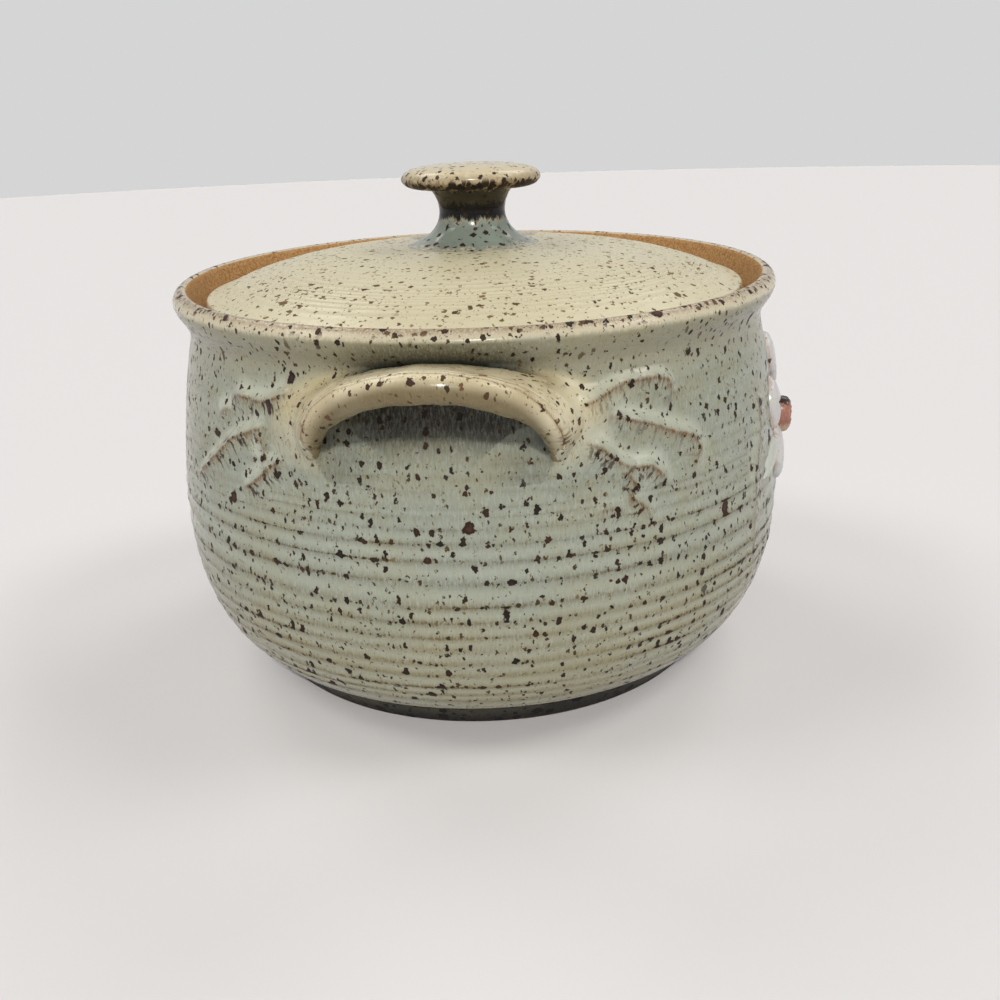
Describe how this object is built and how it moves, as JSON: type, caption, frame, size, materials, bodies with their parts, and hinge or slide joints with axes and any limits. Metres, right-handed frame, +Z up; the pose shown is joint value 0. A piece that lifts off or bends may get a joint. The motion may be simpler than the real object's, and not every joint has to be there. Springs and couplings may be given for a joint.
{
  "type": "stoneware casserole pot with lid",
  "caption": "Round-bellied glazed stoneware casserole with arched lug handles, leaf relief, an applied blossom and a domed lid with a knob that lifts off its gallery.",
  "frame": {"origin": "centre of the foot ring's resting plane", "axes": "+Z up along the pot's turning axis and the way the lid lifts; +X along the handles; the blossom faces -Y"},
  "size_m": [0.2688, 0.237, 0.182],
  "materials": {
    "wall_glaze": "glossy speckled celadon-grey glaze over iron-bearing stoneware",
    "handle_glaze": "glossy cream-buff glaze with iron specks",
    "lid_glaze": "satin cream glaze with iron specks",
    "petal_glaze": "glossy pinkish-white glaze",
    "blossom_centre_glaze": "glossy coral-brown glaze"
  },
  "bodies": {
    "pot": {"pot_body": "wall_glaze", "handle_left": "handle_glaze", "handle_right": "handle_glaze", "leaf_left_front": "wall_glaze", "leaf_left_back": "wall_glaze", "leaf_right_front": "wall_glaze", "leaf_right_back": "wall_glaze", "blossom_petals": "petal_glaze", "blossom_centre": "blossom_centre_glaze", "blossom_leaves": "wall_glaze"},
    "cover": {"lid": "lid_glaze", "knob": "lid_glaze"}
  },
  "joints": [
    {"name": "lid_lift", "type": "slide", "parent": "pot", "child": "cover", "axis": [0, 0, 1], "range_m": [0, 0.08]}
  ]
}
